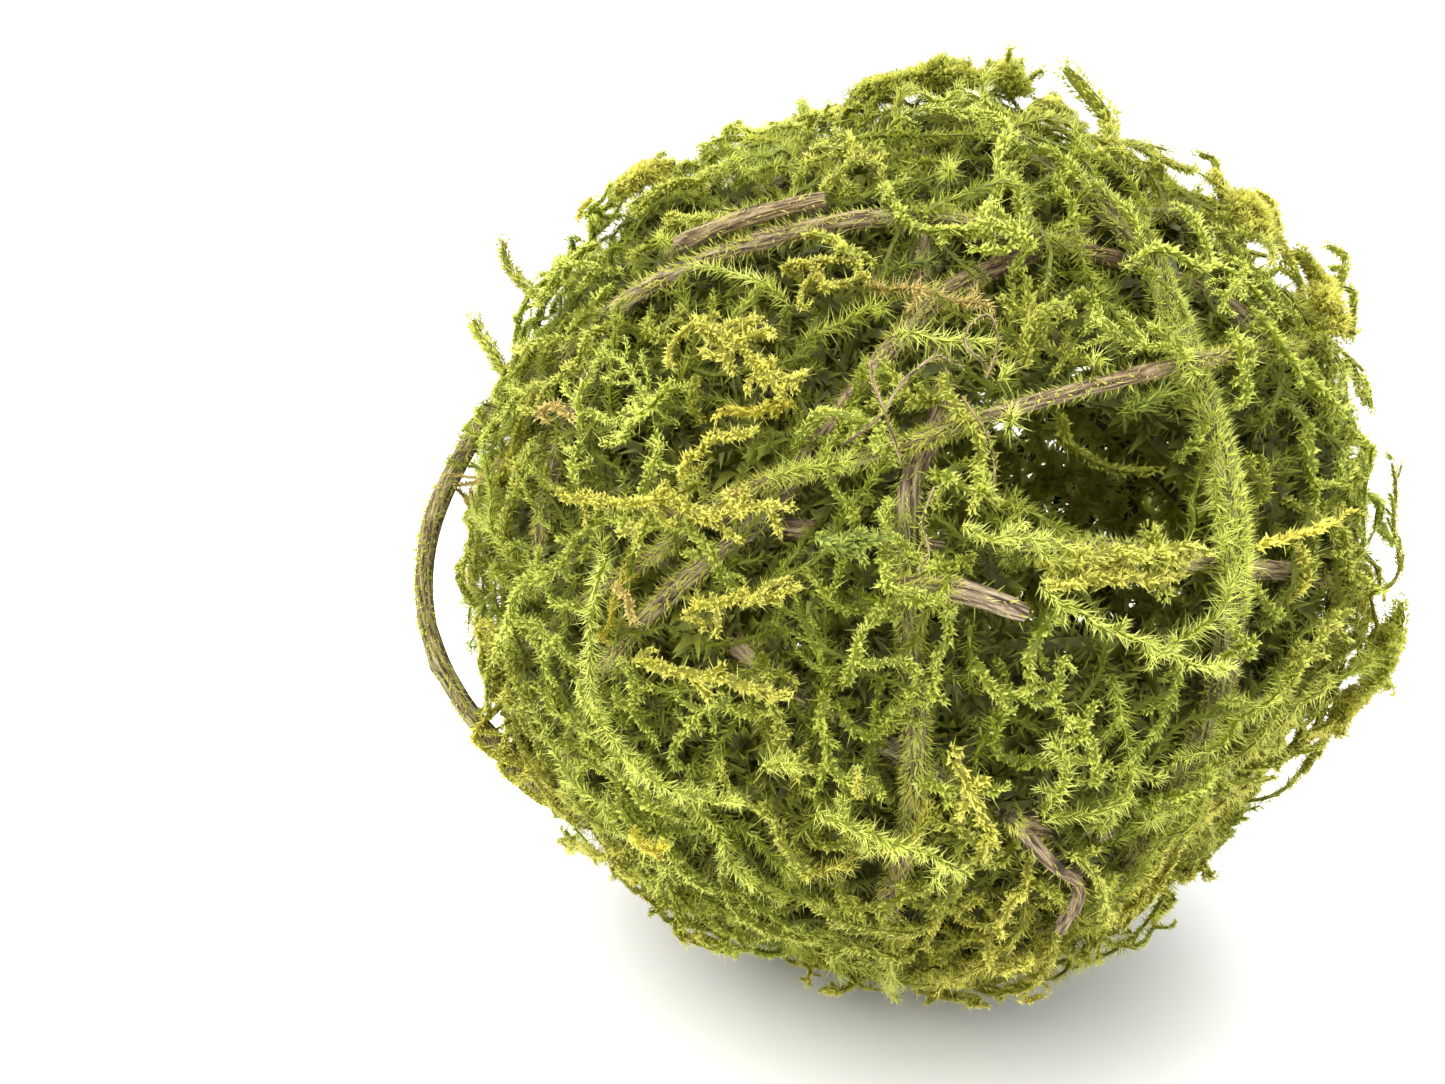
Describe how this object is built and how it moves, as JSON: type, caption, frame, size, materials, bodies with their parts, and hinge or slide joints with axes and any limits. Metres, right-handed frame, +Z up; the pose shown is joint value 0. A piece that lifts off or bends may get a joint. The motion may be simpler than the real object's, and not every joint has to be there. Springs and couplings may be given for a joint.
{
  "type": "moss orb",
  "caption": "Open ball wound from thin vines and covered with a net of feather moss, with a window in its front.",
  "frame": {"origin": "centre of the spot under the ball where the moss is pressed flat and the orb rests", "axes": "+Z up through the ball's centre, -Y towards the front with the window, +X to the right"},
  "size_m": [0.2036, 0.2027, 0.2046],
  "materials": {
    "vine_bark": "rough dry bark",
    "moss_olive": "matte dried moss",
    "moss_bright": "matte dried moss"
  },
  "bodies": {
    "root": {"moss_spray_01": "moss_olive", "moss_spray_02": "moss_bright", "moss_spray_03": "moss_olive", "moss_spray_04": "moss_olive", "moss_spray_05": "moss_bright", "moss_spray_06": "moss_olive", "moss_spray_07": "moss_olive", "moss_spray_08": "moss_bright", "moss_spray_09": "moss_olive", "moss_spray_10": "moss_olive", "moss_spray_11": "moss_bright", "moss_spray_12": "moss_olive", "moss_spray_13": "moss_olive", "moss_spray_14": "moss_bright", "moss_spray_15": "moss_olive", "moss_spray_16": "moss_olive", "moss_spray_17": "moss_bright", "moss_spray_18": "moss_olive", "moss_spray_19": "moss_olive", "moss_spray_20": "moss_bright", "twig_hook_low": "vine_bark", "twig_over_brow": "vine_bark", "twig_stub_front": "vine_bark", "vine_brow": "vine_bark", "vine_cheek": "vine_bark", "vine_front_slant": "vine_bark", "vine_front_upright": "vine_bark", "vine_left_upright": "vine_bark", "vine_low_front": "vine_bark", "vine_right_upright": "vine_bark", "vine_sprung_loop": "vine_bark", "vine_window_head": "vine_bark", "vine_window_side": "vine_bark", "vine_window_sill": "vine_bark"}
  },
  "joints": []
}
